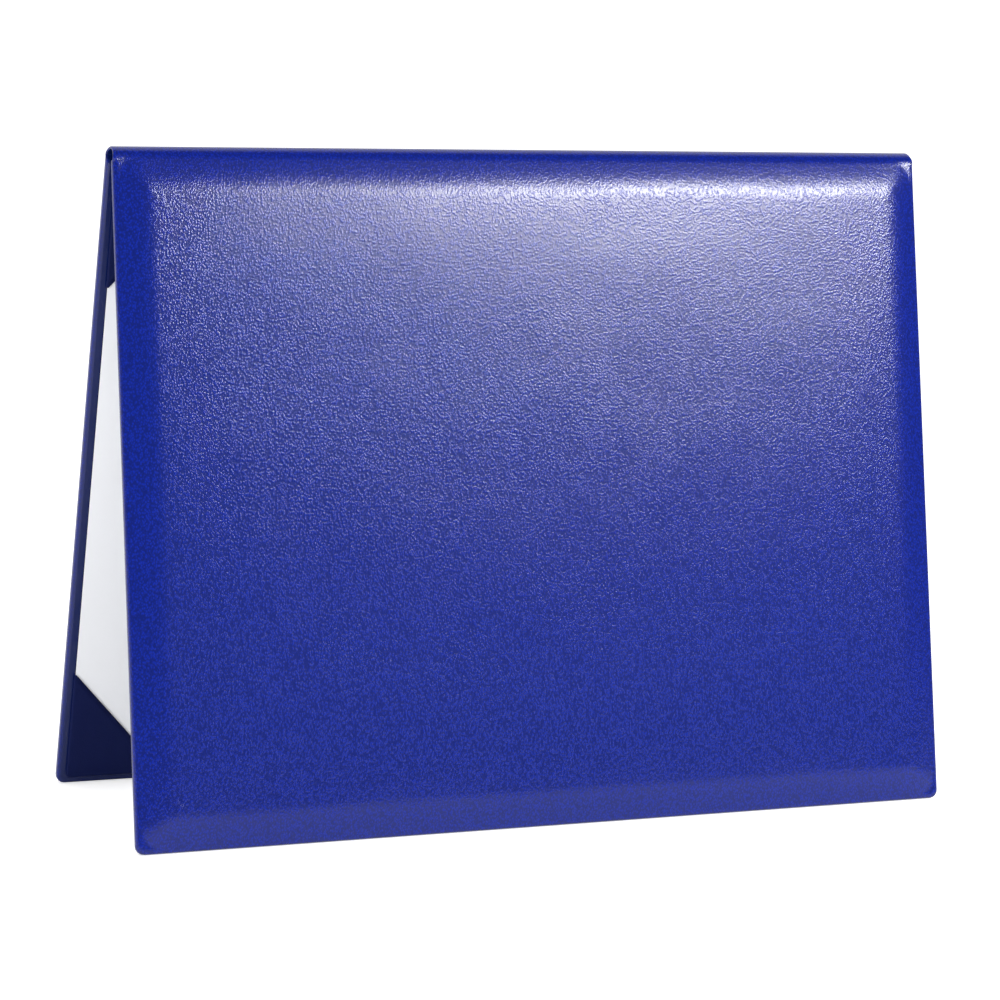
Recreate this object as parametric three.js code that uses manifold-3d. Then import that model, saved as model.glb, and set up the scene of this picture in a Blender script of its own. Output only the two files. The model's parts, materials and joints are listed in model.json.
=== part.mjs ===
// Padded diploma cover, opened a little and stood on its two bottom edges like a tent.
// Millimetres. X runs along the fold, +Z is up, and the padded front cover faces -Y.
// One sheet of leatherette wraps both boards and bridges the fold between them.
// It is parted along its two fold lines, because each cover swings about its own line.
import * as THREE from 'three';
import { mergeVertices } from 'three/addons/utils/BufferGeometryUtils.js';
import Module from 'manifold-3d';

const wasm = await Module();
wasm.setup();

// Overall sizes
const coverWidth = 295.5;         // along the fold, over the leatherette
const coverHeight = 226;          // from a fold line down to the bottom edge
const standingAngle = 22.8;       // degrees between the two covers as they stand

// Sheets and boards
const skinThickness = 0.4;        // leatherette of the wrap
const boardThickness = 2.5;       // greyboard
const liningThickness = 0.3;      // white lining card
const pocketThickness = 0.3;      // thinner leatherette of the corner pockets
const stripThickness = 0.3;       // strip that lines the inside of the fold
const glueGap = 0.2;              // glue line between two layers
const closedGap = 0.3;            // between the two covers when shut

// Edges and corners
const edgeRadius = 1.3;           // leatherette round a board's edge
const cornerRadius = 2.8;         // a cover's bottom corners
const mitreRadius = 0.6;          // inner corners of the turned-in leatherette
const turnInWidth = 13;           // leatherette turned in over a board
const foldClearance = 0.5;        // wrap left bare on each side of a fold line

// Padding of the front cover
const padRise = 2.3;              // plateau above the cover's edge
const bevelWidth = 11.5;          // edge of the cover to the plateau
const padSetback = 3;             // bare board round the foam
const plateauRadius = 4;          // corners of the plateau

// Fold
const spineRise = 2.6;            // crest above the two fold lines
const spineEndPull = 1.4;         // crest ends drawn in by the turned-in leatherette
const boardSetback = 1.2;         // fold line down to a board's top edge
const stripWidth = 16;            // strip glued down a board from its top edge
const stripLip = 2.4;             // strip laid over a board's top edge

// Linings and corner pockets
const turnInShown = 3.3;          // turned-in leatherette left bare outside a lining
const liningSetback = 6;          // fold line down to a lining's top edge
const pocketLeg = 32;             // along each edge of the lining
const pocketFlap = 8;             // folded round behind the lining
const pocketCorner = 0.4;         // radius of a pocket's folded corner

const arcSteps = 6;               // facets in a quarter turn
const easeSteps = 3;              // facets of an eased board edge
const bevelSteps = 10;            // facets up the padded bevel
const spineSteps = 16;            // facets over the crest

const halfWidth = coverWidth / 2;
const lean = THREE.MathUtils.degToRad(standingAngle / 2);

const leatherette = new THREE.MeshStandardMaterial({ color: 0x1f3a9c, roughness: 0.42, metalness: 0 });
const pocketLeatherette = new THREE.MeshStandardMaterial({ color: 0x1b3184, roughness: 0.5, metalness: 0 });
const liningCard = new THREE.MeshStandardMaterial({ color: 0xf4f5f8, roughness: 0.8, metalness: 0 });
const greyboard = new THREE.MeshStandardMaterial({ color: 0x8f8a80, roughness: 0.9, metalness: 0 });
const foam = new THREE.MeshStandardMaterial({ color: 0xe6e2d6, roughness: 0.95, metalness: 0 });

// A cover is laid out flat before it is stood up. Its layers stack outward along Y, from the plane
// midway between the shut covers, and "down" is the distance below the fold line, along -Z.
function stackLayers(thicknesses) {
  const layers = {};
  let depth = closedGap / 2;
  for (const [name, thickness] of Object.entries(thicknesses)) {
    layers[name] = { inner: depth, outer: depth + thickness };
    depth += thickness + glueGap;
  }
  return layers;
}

const frontLayers = stackLayers({
  lining: liningThickness, turnIn: skinThickness, board: boardThickness, face: skinThickness,
});
const rearLayers = stackLayers({
  pocketFace: pocketThickness, lining: liningThickness, pocketBack: pocketThickness,
  turnIn: skinThickness, board: boardThickness, face: skinThickness,
});

// The fold line runs in the middle of the outer leatherette.
const foldDepth = (layers) => (layers.face.inner + layers.face.outer) / 2;
const frontFold = foldDepth(frontLayers);
const rearFold = foldDepth(rearLayers);

// Closed body through a row of matching outlines. The outline that closes its two ends runs
// counter-clockwise as seen from the far end.
function loft(rings, endOutline) {
  const count = endOutline.length;
  const positions = rings.flat().flatMap((point) => [point.x, point.y, point.z]);
  const index = [];
  for (let ring = 0; ring < rings.length - 1; ring += 1) {
    for (let step = 0; step < count; step += 1) {
      const next = (step + 1) % count;
      const [a, b] = [ring * count + step, ring * count + next];
      index.push(a, b, b + count, a, b + count, a + count);
    }
  }
  const farEnd = (rings.length - 1) * count;
  for (const [a, b, c] of THREE.ShapeUtils.triangulateShape(endOutline, [])) {
    index.push(a, c, b, farEnd + a, farEnd + b, farEnd + c);
  }
  const geometry = new THREE.BufferGeometry();
  geometry.setAttribute('position', new THREE.Float32BufferAttribute(positions, 3));
  geometry.setIndex(index);
  return geometry;
}

function toSolid(geometry) {
  const bare = geometry.clone();
  bare.deleteAttribute('normal');
  bare.deleteAttribute('uv');
  const merged = mergeVertices(bare, 1e-4);
  return new wasm.Manifold(new wasm.Mesh({
    numProp: 3,
    vertProperties: new Float32Array(merged.attributes.position.array),
    triVerts: new Uint32Array(merged.index.array),
  }));
}

function toGeometry(solid) {
  const mesh = solid.getMesh();
  const geometry = new THREE.BufferGeometry();
  geometry.setAttribute('position', new THREE.BufferAttribute(mesh.vertProperties, 3));
  geometry.setIndex(new THREE.BufferAttribute(mesh.triVerts, 1));
  return geometry;
}

// Rounded rectangle as a shape: x along the fold, y down from the fold line.
function roundedRectangle(left, right, top, bottom, radius) {
  const shape = new THREE.Shape();
  shape.absarc(right - radius, top + radius, radius, -Math.PI / 2, 0);
  shape.absarc(right - radius, bottom - radius, radius, 0, Math.PI / 2);
  shape.absarc(left + radius, bottom - radius, radius, Math.PI / 2, Math.PI);
  shape.absarc(left + radius, top + radius, radius, Math.PI, 1.5 * Math.PI);
  return shape;
}

// Flat piece of a cover, cut to a shape and filling one layer, its edges eased by a radius.
function layerPiece(shape, layer, ease = 0) {
  const geometry = new THREE.ExtrudeGeometry(shape, {
    depth: layer.outer - layer.inner - 2 * ease,
    bevelEnabled: ease > 0,
    bevelThickness: ease,
    bevelSize: ease,
    bevelOffset: -ease,
    bevelSegments: easeSteps,
    curveSegments: arcSteps,
  });
  return geometry.rotateX(-Math.PI / 2).translate(0, layer.inner + ease, 0);
}

// Piece of one section along the fold: the shape's x is down, its y is outward.
function foldPiece(shape, length) {
  const geometry = new THREE.ExtrudeGeometry(shape, {
    depth: length, bevelEnabled: false, curveSegments: arcSteps,
  });
  return geometry.translate(0, 0, -length / 2).rotateY(Math.PI / 2);
}

// Height of the padded face above the cover's edge, from the edge (0) to the plateau (1).
const bevelCurve = new THREE.CubicBezierCurve(
  new THREE.Vector2(0, 0),
  new THREE.Vector2(0.42, 0.62),
  new THREE.Vector2(0.68, 1),
  new THREE.Vector2(1, 1),
);

// Points (inset from the edge, outward level) up the padded bevel, over a level at the edge.
function bevelProfile(edgeLevel, firstInset) {
  return bevelCurve.getPoints(bevelSteps).map((point) => new THREE.Vector2(
    firstInset + (bevelWidth - firstInset) * point.x,
    edgeLevel + padRise * point.y,
  ));
}

// Section of the leatherette round a board's edge, from the outer face, round the edge, in to
// the cut end of the turn-in, and back along the inside.
function edgeProfile(layers) {
  const { turnIn, face } = layers;
  const path = new THREE.Path();
  const innerRadius = edgeRadius - skinThickness;
  path.moveTo(edgeRadius, face.outer);
  path.absarc(edgeRadius, face.outer - edgeRadius, edgeRadius, Math.PI / 2, Math.PI);
  path.absarc(edgeRadius, turnIn.inner + edgeRadius, edgeRadius, Math.PI, 1.5 * Math.PI);
  path.lineTo(turnInWidth, turnIn.inner);
  path.lineTo(turnInWidth, turnIn.outer);
  path.lineTo(edgeRadius, turnIn.outer);
  path.absarc(edgeRadius, turnIn.inner + edgeRadius, innerRadius, 1.5 * Math.PI, Math.PI, true);
  path.absarc(edgeRadius, face.outer - edgeRadius, innerRadius, Math.PI, Math.PI / 2, true);
  return dropRepeats(path.getPoints(arcSteps / 2));
}

function dropRepeats(points) {
  return points.filter((point, i) => i === 0 || point.distanceTo(points[i - 1]) > 1e-6);
}

// Outline round a cover at one inset from its edges, at one outward level.
function coverOutline(inset, top, radius, level) {
  const bottom = coverHeight - inset;
  const right = halfWidth - inset;
  const corners = [
    [right, top, -Math.PI / 2],
    [right, bottom, 0],
    [-right, bottom, Math.PI / 2],
    [-right, top, Math.PI],
  ];
  const ring = [];
  for (const [x, down, start] of corners) {
    const centreX = x - Math.sign(x) * radius;
    const centreDown = down + (down === top ? radius : -radius);
    for (let step = 0; step <= arcSteps; step += 1) {
      const angle = start + (step / arcSteps) * (Math.PI / 2);
      const point = new THREE.Vector3(centreX + radius * Math.cos(angle), level,
        -centreDown - radius * Math.sin(angle));
      ring.push(point);
    }
  }
  return ring.reverse();
}

// The leatherette of one cover: its outer face, its three wrapped edges and its turn-ins. It is
// made long past the fold line, and then trimmed there.
function makeWrap(layers, padded) {
  const past = -2 * turnInWidth;
  const edgeRing = (point) => coverOutline(point.x, past,
    Math.max(cornerRadius - point.x, mitreRadius), point.y);
  const bevelRing = (point) => {
    const climb = (point.x - edgeRadius) / (bevelWidth - edgeRadius);
    const radius = THREE.MathUtils.lerp(cornerRadius - edgeRadius, plateauRadius, climb);
    return coverOutline(point.x, point.x, radius, point.y);
  };
  const rings = edgeProfile(layers).map(edgeRing);
  if (padded) {
    rings.unshift(...bevelProfile(layers.face.outer, edgeRadius).reverse().map(bevelRing));
    rings.push(...bevelProfile(layers.face.inner, edgeRadius).map(bevelRing));
  }
  const endOutline = rings[0].map((point) => new THREE.Vector2(point.x, point.z));
  const trim = layerPiece(
    roundedRectangle(-coverWidth, coverWidth, foldClearance, 2 * coverHeight, mitreRadius),
    { inner: -coverHeight, outer: coverHeight },
  );
  return toGeometry(toSolid(loft(rings, endOutline)).intersect(toSolid(trim)));
}

// Greyboard, its edges eased so that the leatherette rounds them at an even distance.
function makeBoard(layers) {
  const inset = skinThickness + glueGap;
  const shape = roundedRectangle(-halfWidth + inset, halfWidth - inset, boardSetback,
    coverHeight - inset, cornerRadius - inset);
  return layerPiece(shape, layers.board, edgeRadius - inset);
}

// Foam between the front board and the leatherette, pressed thin towards its edges.
function makePad(layers) {
  const base = layers.board.outer + glueGap;
  const top = bevelProfile(layers.face.inner - glueGap, edgeRadius)
    .filter((point) => point.x > padSetback);
  const pad = [new THREE.Vector2(top[0].x, base), ...top];
  const rings = pad.map((point) => coverOutline(point.x, point.x, plateauRadius, point.y)).reverse();
  const endOutline = rings[0].map((point) => new THREE.Vector2(point.x, point.z));
  return loft(rings, endOutline);
}

const liningRight = halfWidth - turnInShown;
const liningBottom = coverHeight - turnInShown;

function makeLining(layers) {
  return layerPiece(
    roundedRectangle(-liningRight, liningRight, liningSetback, liningBottom, mitreRadius),
    layers.lining,
  );
}

// Strip down the inside of a board and over its top edge, between the side turn-ins.
function makeHingeFlap(layers) {
  const { turnIn, board } = layers;
  const top = boardSetback - glueGap - stripThickness;
  const bend = stripThickness + glueGap;
  const inner = board.inner - glueGap - stripThickness;
  const shape = new THREE.Shape();
  shape.moveTo(top + stripWidth, inner);
  shape.lineTo(top + stripWidth, inner + stripThickness);
  shape.lineTo(top + bend, inner + stripThickness);
  shape.absarc(top + bend, inner + bend, glueGap, 1.5 * Math.PI, Math.PI, true);
  shape.lineTo(top + stripThickness, turnIn.outer + stripLip);
  shape.lineTo(top, turnIn.outer + stripLip);
  shape.lineTo(top, inner + bend);
  shape.absarc(top + bend, inner + bend, bend, Math.PI, 1.5 * Math.PI);
  return foldPiece(shape, coverWidth - 2 * (turnInWidth + glueGap));
}

// Pocket over one corner of the rear lining: a triangle whose two straight sides fold round the
// lining's edges and lie behind it. The diagonal side is open, and a certificate slips in there.
function makePocket(side, end) {
  const { pocketFace, pocketBack } = rearLayers;
  const cornerDown = end > 0 ? liningBottom : liningSetback;
  const at = (across, along) => new THREE.Vector2(side * (liningRight - across),
    cornerDown - end * along);
  const wrapped = glueGap + pocketThickness;
  const polygon = (...points) => new THREE.Shape(points.map(([across, along]) => at(across, along)));
  const triangle = polygon(
    [pocketCorner - wrapped, -wrapped], [pocketLeg, -wrapped],
    [-wrapped, pocketLeg], [-wrapped, pocketCorner - wrapped],
  );
  const held = polygon([-glueGap, -glueGap], [2 * pocketLeg, -glueGap], [-glueGap, 2 * pocketLeg]);
  const open = polygon([pocketFlap, pocketFlap], [2 * pocketLeg, pocketFlap],
    [pocketFlap, 2 * pocketLeg]);
  const body = layerPiece(triangle, { inner: pocketFace.inner, outer: pocketBack.outer });
  const slot = layerPiece(held, { inner: pocketFace.outer, outer: pocketBack.inner });
  const window = layerPiece(open, { inner: pocketFace.outer, outer: pocketBack.outer + glueGap });
  return toGeometry(toSolid(body).subtract(toSolid(slot)).subtract(toSolid(window)));
}

// The crest is an arc over the two fold lines, about a centre below them.
const foldSpan = frontFold + rearFold;
const crestRadius = ((foldSpan / 2) ** 2 + spineRise ** 2) / (2 * spineRise);
const crestCentre = new THREE.Vector2((rearFold - frontFold) / 2, spineRise - crestRadius);
const crestHalfAngle = Math.asin(foldSpan / 2 / crestRadius);

// Carries a section, drawn as x along the fold and y outward from the crest's centre, over the
// crest. At the top of the crest the section's ends are drawn in.
function overCrest(section, halfAngle, endPull) {
  const rings = [];
  for (let step = 0; step <= spineSteps; step += 1) {
    const angle = halfAngle * (1 - (2 * step) / spineSteps);
    const rise = Math.cos(angle) - Math.cos(crestHalfAngle);
    const pull = (endPull * rise) / (1 - Math.cos(crestHalfAngle));
    rings.push(section.map((point) => new THREE.Vector3(
      point.x - Math.sign(point.x) * pull,
      crestCentre.x + point.y * Math.sin(angle),
      crestCentre.y + point.y * Math.cos(angle),
    )));
  }
  return loft(rings, section);
}

// Leatherette over the crest, doubled at both ends where it turns in.
function makeSpineWrap() {
  const outer = crestRadius + skinThickness / 2;
  const doubled = 2 * skinThickness + glueGap;
  const bend = doubled / 2;
  const slit = glueGap / 2;
  const end = halfWidth - bend;
  const cut = halfWidth - turnInWidth;
  const shape = new THREE.Shape();
  shape.moveTo(-cut, outer - doubled);
  shape.lineTo(-cut, outer - doubled + skinThickness);
  shape.absarc(-end, outer - bend, slit, 1.5 * Math.PI, Math.PI / 2, true);
  shape.absarc(end, outer - bend, slit, Math.PI / 2, -Math.PI / 2, true);
  shape.lineTo(cut, outer - doubled + skinThickness);
  shape.lineTo(cut, outer - doubled);
  shape.absarc(end, outer - bend, bend, -Math.PI / 2, Math.PI / 2);
  shape.absarc(-end, outer - bend, bend, Math.PI / 2, 1.5 * Math.PI);
  const section = dropRepeats(shape.getPoints(arcSteps / 2));
  const halfAngle = crestHalfAngle - foldClearance / crestRadius;
  return overCrest(section, halfAngle, spineEndPull);
}

// Strip under the crest, inside the doubled leatherette, kept above the line of the two folds.
function makeSpineLining() {
  const outer = crestRadius - skinThickness / 2 - glueGap;
  const inner = outer - stripThickness;
  const end = halfWidth - turnInWidth - spineEndPull - glueGap;
  const section = [[-end, inner], [end, inner], [end, outer], [-end, outer]]
    .map(([x, y]) => new THREE.Vector2(x, y));
  return overCrest(section, Math.acos(-crestCentre.y / inner), 0);
}

function piece(name, geometry, material) {
  geometry.computeVertexNormals();
  const mesh = new THREE.Mesh(geometry, material);
  mesh.name = name;
  return mesh;
}

// A cover hangs from its fold line and leans out from there by half the standing angle.
function standCover(layers, pieces) {
  const cover = new THREE.Group();
  const hanging = new THREE.Group();
  hanging.position.y = -foldDepth(layers);
  hanging.add(...pieces);
  cover.add(hanging);
  cover.position.y = foldDepth(layers);
  cover.rotation.x = lean;
  const side = new THREE.Group();
  side.add(cover);
  return side;
}

const frontCover = standCover(frontLayers, [
  piece('front_wrap', makeWrap(frontLayers, true), leatherette),
  piece('front_pad', makePad(frontLayers), foam),
  piece('front_board', makeBoard(frontLayers), greyboard),
  piece('front_lining', makeLining(frontLayers), liningCard),
  piece('front_hinge_flap', makeHingeFlap(frontLayers), leatherette),
]);
frontCover.rotation.z = Math.PI;

const pocketPlaces = {
  top_left: [-1, -1], top_right: [1, -1], bottom_left: [-1, 1], bottom_right: [1, 1],
};
const pockets = Object.entries(pocketPlaces).map(([place, [side, end]]) => (
  piece(`pocket_${place}`, makePocket(side, end), pocketLeatherette)
));

const rearCover = standCover(rearLayers, [
  piece('rear_wrap', makeWrap(rearLayers, false), leatherette),
  piece('rear_board', makeBoard(rearLayers), greyboard),
  piece('rear_lining', makeLining(rearLayers), liningCard),
  piece('rear_hinge_flap', makeHingeFlap(rearLayers), leatherette),
  ...pockets,
]);

const spine = new THREE.Group();
spine.add(
  piece('spine_wrap', makeSpineWrap(), leatherette),
  piece('spine_lining', makeSpineLining(), leatherette),
);

// Both bottom edges stand on z = 0, with the origin midway between the front and the back.
const diplomaCover = new THREE.Group();
diplomaCover.add(frontCover, rearCover, spine);
const box = new THREE.Box3().setFromObject(diplomaCover, true);
diplomaCover.position.set(0, -(box.min.y + box.max.y) / 2, -box.min.z);

export default diplomaCover;
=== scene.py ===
"""Padded diploma cover of royal blue leatherette, standing like a tent on its two bottom edges."""

import json
import math
from collections import namedtuple

import bmesh
import bpy
import numpy as np
from bpy.props import (FloatProperty, FloatVectorProperty, IntProperty, PointerProperty,
                       StringProperty)
from bpy.types import Operator, Panel, PropertyGroup
from mathutils import Matrix, Vector


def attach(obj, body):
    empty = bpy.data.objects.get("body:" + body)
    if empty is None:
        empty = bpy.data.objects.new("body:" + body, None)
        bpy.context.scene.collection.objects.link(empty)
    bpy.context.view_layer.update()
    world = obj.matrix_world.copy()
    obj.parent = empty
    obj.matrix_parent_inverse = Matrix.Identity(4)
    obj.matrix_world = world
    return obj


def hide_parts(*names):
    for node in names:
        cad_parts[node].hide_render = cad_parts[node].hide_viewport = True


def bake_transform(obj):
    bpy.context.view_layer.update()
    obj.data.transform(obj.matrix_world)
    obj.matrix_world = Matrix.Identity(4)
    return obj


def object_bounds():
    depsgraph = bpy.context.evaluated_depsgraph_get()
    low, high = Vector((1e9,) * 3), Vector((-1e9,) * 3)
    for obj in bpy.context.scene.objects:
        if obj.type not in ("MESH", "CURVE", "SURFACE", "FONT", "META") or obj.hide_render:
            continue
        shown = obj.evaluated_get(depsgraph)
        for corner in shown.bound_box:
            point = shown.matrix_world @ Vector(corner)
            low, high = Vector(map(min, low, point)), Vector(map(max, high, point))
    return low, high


bl_info = {
    "name": "Diploma Cover",
    "version": (1, 0, 0),
    "blender": (4, 5, 0),
    "location": "3D View > Sidebar > Diploma Cover",
    "description": "Builds a padded diploma cover over its packed solids",
    "category": "Add Mesh",
}

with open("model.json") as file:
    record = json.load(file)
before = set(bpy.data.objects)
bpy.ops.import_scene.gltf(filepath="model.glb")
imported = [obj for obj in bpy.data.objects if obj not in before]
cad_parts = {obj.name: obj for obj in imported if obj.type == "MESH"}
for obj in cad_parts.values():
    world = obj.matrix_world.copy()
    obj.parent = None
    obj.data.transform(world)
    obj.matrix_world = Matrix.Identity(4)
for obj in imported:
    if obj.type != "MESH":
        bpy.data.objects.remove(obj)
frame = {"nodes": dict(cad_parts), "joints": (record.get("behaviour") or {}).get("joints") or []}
CAD_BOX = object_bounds()

MM = 0.001
FOLDS = {joint["name"]: joint for joint in frame["joints"]}
REAR_FOLD = Vector(FOLDS["rear_fold"]["pos_m"])
FRONT_FOLD = Vector(FOLDS["front_fold"]["pos_m"])
# The covers shut at the joints' lower limit, so that limit is each cover's lean.
LEAN = math.radians(-FOLDS["rear_fold"]["range_deg"][0])
COVER_WIDTH = CAD_BOX[1].x - CAD_BOX[0].x

# Sizes of the boards, the lining and the folds, in metres
COVER_HEIGHT = 226 * MM
SKIN = 0.4 * MM
EDGE_RADIUS = 1.3 * MM
CORNER_RADIUS = 2.8 * MM
MITRE_RADIUS = 0.6 * MM
TURN_IN = 13 * MM
BOARD_STACK = 3.7 * MM
SPINE_STACK = 1.0 * MM
SPINE_RISE = 2.6 * MM
SPINE_END_PULL = 0.5 * MM
LINING_INSET = 3.3 * MM
LINING_TOP = 6 * MM
POCKET_SKIN = 0.3 * MM
POCKET_WRAP = 0.5 * MM
POCKET_STACK = 1.3 * MM
POCKET_FACE = 5.0 * MM
POCKET_FLAP = 8 * MM

# The padding: a bevel with these two handles, as shares of its width and of its rise, and inside
# it a slow crown that has a share of the rise. Both turn the corners on a rounded square.
BEVEL_ACROSS = (0.42, 0.68)
BEVEL_UP = (0.62, 1.0)
PLATEAU_RADIUS = 4 * MM
CROWN_WIDTH = 38 * MM
CROWN_SHARE = 0.17
CORNER_POWER = 3.2
TOP_LEAD = 1.6 * MM

# Insets at which the leatherette begins and ends to lie slack, and has its full grain
SLACK_START = 7 * MM
SLACK_END = 19 * MM
GRAIN_END = 14 * MM
# Grain where the leatherette is drawn round an edge, and where it lies flat but pressed
EDGE_GRAIN = 0.1
PRESSED_GRAIN = 0.6
POCKET_GRAIN = 0.7
PEBBLE_SLANT = math.radians(38)
PEBBLE_DEPTH = 0.066 * MM

# The doubled leatherette of the spine grows to a wrapped board's thickness, from this far above
# the cover's edge and over this length.
SWELL_LEAD = 1.0 * MM
SWELL_LENGTH = 3.2 * MM

# The leatherette is parted on the rear slope of the crest, where both sides follow the spine.
SEAM_ANGLE = math.radians(44)
CREST_END = math.radians(50)

# Steps of an edge's quarter turn, the bevel, a quarter turn of the crest, and the fold's hollow
ARC_STEPS = 5
BEVEL_STEPS = 14
CREST_STEPS = 32
FOLD_STEPS = 5
PLAIN_RINGS = (5 * MM, 8 * MM, 11.5 * MM)
FRONT_SPACING = 4 * MM
REAR_SPACING = 6 * MM

# How bright the room before the object is in a gloss, where the backdrop is 1
ROOM_LEVEL = 0.07
KEY_SIZE = (0.4, 0.18)
FILL_SIZE = (0.6, 0.5)
FLOOR_REACH = 40.0
FLOOR_GLOW = 0.5
PAPER = "f2f2f2"

Crest = namedtuple("Crest", "places outward pulls travelled to_face")


def linear(colour):
    """Linear colour of an sRGB hex value such as 1f3a9c."""
    parts = [int(colour[i:i + 2], 16) / 255 for i in (0, 2, 4)]
    return tuple(c / 12.92 if c <= 0.04045 else ((c + 0.055) / 1.055) ** 2.4 for c in parts)


class CoverSizes(PropertyGroup):
    """Sizes of the padding, the pockets and the leatherette's grain."""

    pad_rise: FloatProperty(name="Pad Rise", description="Plateau above the cover's edge",
                            default=2.3 * MM, unit="LENGTH", precision=5)
    bevel_width: FloatProperty(name="Bevel Width", description="Cover's edge to the plateau",
                               default=13.5 * MM, unit="LENGTH", precision=5)
    pocket_across: FloatProperty(name="Pocket Across", description="Pocket along the fold",
                                 default=34 * MM, unit="LENGTH", precision=5)
    pocket_down: FloatProperty(name="Pocket Down", description="Pocket across the fold",
                               default=38.5 * MM, unit="LENGTH", precision=5)
    wave_height: FloatProperty(name="Wave Height", description="Unevenness of the padding",
                               default=0.12 * MM, unit="LENGTH", precision=6)
    wave_size: FloatProperty(name="Wave Size", description="Distance between two waves",
                             default=46 * MM, unit="LENGTH", precision=4)
    pebble_size: FloatProperty(name="Pebble Size", description="Width of one embossed pebble",
                               default=0.62 * MM, unit="LENGTH", precision=5)
    seed: IntProperty(name="Seed", description="Seed of the padding's unevenness", default=7)


class CoverColours(PropertyGroup):
    """Colours of the cover's materials."""

    leatherette: StringProperty(name="Leatherette", description="sRGB hex", default="031d87")
    # The valleys between the pebbles are darker than the peaks: painted shade.
    leatherette_valley_shade: StringProperty(name="Leatherette Valleys", description="sRGB hex",
                                       default="03145f")
    # The turned-in border's colour is darker than the leatherette: painted shade.
    turned_in_shade: StringProperty(name="Turned-in Leatherette", description="sRGB hex",
                              default="091950")
    pocket: StringProperty(name="Pockets", description="sRGB hex", default="0d1642")
    lining: StringProperty(name="Lining", description="sRGB hex", default="f8f9fc")
    greyboard: StringProperty(name="Greyboard", description="sRGB hex", default="8f8a80")
    foam: StringProperty(name="Foam", description="sRGB hex", default="e6e2d6")


class StudioSettings(PropertyGroup):
    """Camera and lamps of the studio."""

    camera_place: FloatVectorProperty(name="Camera Place", description="Where the camera stands",
                                      default=(-0.4723, -1.0936, 0.3131), subtype="TRANSLATION")
    camera_yaw: FloatProperty(name="Yaw", description="Turn to the right of +Y",
                              default=math.radians(23.108), subtype="ANGLE")
    camera_pitch: FloatProperty(name="Pitch", description="Tilt below the horizon",
                                default=math.radians(9.166), subtype="ANGLE")
    camera_roll: FloatProperty(name="Roll", description="Turn about the line of sight",
                               default=math.radians(2.327), subtype="ANGLE")
    camera_lens: FloatProperty(name="Lens", description="Focal length on a 36 mm frame",
                               default=125.7)
    aim: FloatVectorProperty(name="Aim", description="What the softboxes are turned towards",
                             default=(0.0, 0.0, 0.11), subtype="TRANSLATION")
    key_place: FloatVectorProperty(name="Key Place", description="Where the key softbox hangs",
                                   default=(0.54, -0.89, 0.63), subtype="TRANSLATION")
    fill_place: FloatVectorProperty(name="Fill Place", description="Where the fill softbox is",
                                    default=(-1.1, -0.45, 0.25), subtype="TRANSLATION")
    key_power: FloatProperty(name="Key Power", description="Softbox at the right", default=12.0,
                             unit="POWER")
    fill_power: FloatProperty(name="Fill Power", description="Softbox at the left", default=6.0,
                              unit="POWER")
    sky: FloatProperty(name="Sky", description="Strength of the even light", default=0.88)


def add_node(tree, kind, inputs=None, **settings):
    """Adds a node. An input is a value, or the output socket that it is linked to."""
    node = tree.nodes.new(kind)
    for name, value in settings.items():
        setattr(node, name, value)
    for name, value in (inputs or {}).items():
        socket = node.inputs[name]
        if isinstance(value, bpy.types.NodeSocket):
            tree.links.new(value, socket)
        else:
            socket.default_value = value
    return node


def new_material(name):
    """An empty node material with its output, and its tree."""
    material = bpy.data.materials.new(name)
    material.use_nodes = True
    material.node_tree.nodes.clear()
    return material, material.node_tree


def finish_material(tree, shader):
    """Ends a material in its shader."""
    add_node(tree, "ShaderNodeOutputMaterial", {"Surface": shader.outputs["BSDF"]})


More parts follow.
